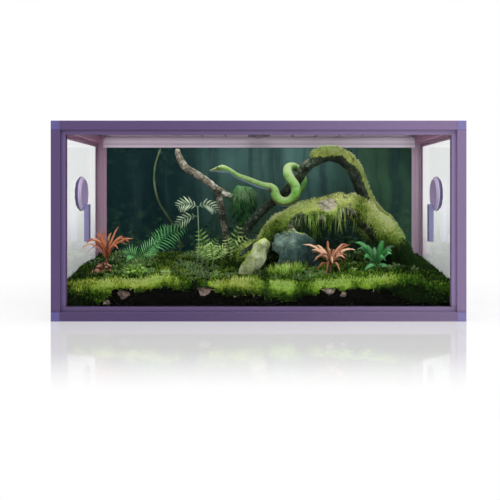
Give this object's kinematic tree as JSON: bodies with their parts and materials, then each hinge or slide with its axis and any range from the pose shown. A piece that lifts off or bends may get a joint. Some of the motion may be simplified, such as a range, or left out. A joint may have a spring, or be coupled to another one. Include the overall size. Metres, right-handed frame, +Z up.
{
  "type": "reptile terrarium",
  "caption": "Front-opening glass terrarium in an aluminium profile frame, with sliding doors, turning side dials, mesh lids and a planted forest floor.",
  "frame": {"origin": "centre of the footprint, on the surface that the terrarium stands on", "axes": "+X to the right seen from the front, +Y to the back, +Z up"},
  "size_m": [1.2, 0.6, 0.58],
  "materials": {
    "anodised_purple": "satin anodised",
    "anodised_pink": "satin anodised",
    "connector_violet": "fine moulded texture",
    "clear_glass": "polished",
    "dark_board": "matt sheet",
    "forest_print": "matt print",
    "black_mesh": "powder coated",
    "steel": "plain",
    "port_plastic": "satin moulded",
    "dial_lilac": "satin moulded",
    "soil": "crumbly",
    "moss": "tufted",
    "stone": "rough stone",
    "bark": "rough bark",
    "driftwood": "weathered",
    "leaf_green": "leafy",
    "leaf_red": "leafy",
    "snake_green": "scaled"
  },
  "bodies": {
    "cabinet": {"front_top_rail": "anodised_purple", "front_bottom_rail": "anodised_purple", "rear_top_rail": "anodised_pink", "rear_bottom_rail": "anodised_pink", "left_top_rail": "anodised_pink", "left_bottom_rail": "anodised_purple", "right_top_rail": "anodised_pink", "right_bottom_rail": "anodised_purple", "front_left_post": "anodised_purple", "front_right_post": "anodised_purple", "rear_left_post": "anodised_pink", "rear_right_post": "anodised_pink", "corner_connectors": "connector_violet", "top_door_track": "anodised_purple", "bottom_door_track": "anodised_purple", "left_jamb": "anodised_purple", "right_jamb": "anodised_purple", "left_side_glass": "clear_glass", "right_side_glass": "clear_glass", "rear_board": "dark_board", "forest_picture": "forest_print", "base_panel": "dark_board", "left_mesh_lid": "black_mesh", "right_mesh_lid": "black_mesh", "lid_bar": "anodised_pink", "lid_screws": "steel", "left_port_flange": "port_plastic", "right_port_flange": "port_plastic", "left_port_nut": "port_plastic", "right_port_nut": "port_plastic", "soil_bed": "soil", "moss_carpet": "moss", "mossy_root": "bark", "blue_boulder": "stone", "leaning_slab": "stone", "red_rock": "stone", "front_stones": "stone", "arched_branch": "bark", "driftwood_branch": "driftwood", "hanging_moss": "moss", "liana": "driftwood", "palm_ferns": "leaf_green", "pale_fern": "leaf_green", "low_ferns": "leaf_green", "strap_plant": "leaf_red", "leafy_plant": "leaf_green", "bromeliad": "leaf_red", "broadleaf_plant": "leaf_green", "tree_snake": "snake_green"},
    "left_door": {"left_glass_door": "clear_glass"},
    "right_door": {"right_glass_door": "clear_glass"},
    "left_turning_dial": {"left_dial": "dial_lilac", "left_lever": "dial_lilac", "left_port_washer": "port_plastic"},
    "right_turning_dial": {"right_dial": "dial_lilac", "right_lever": "dial_lilac", "right_port_washer": "port_plastic"}
  },
  "joints": [
    {"name": "left_door_slide", "type": "slide", "parent": "cabinet", "child": "left_door", "axis": [1, 0, 0], "range_m": [0, 0.528]},
    {"name": "right_door_slide", "type": "slide", "parent": "cabinet", "child": "right_door", "axis": [1, 0, 0], "range_m": [-0.528, 0]},
    {"name": "left_dial_turn", "type": "hinge", "parent": "cabinet", "child": "left_turning_dial", "pos_m": [-0.6, 0.02, 0.367], "axis": [1, 0, 0], "range_deg": [0, 90]},
    {"name": "right_dial_turn", "type": "hinge", "parent": "cabinet", "child": "right_turning_dial", "pos_m": [0.6, 0.02, 0.367], "axis": [1, 0, 0], "range_deg": [0, 90]}
  ]
}
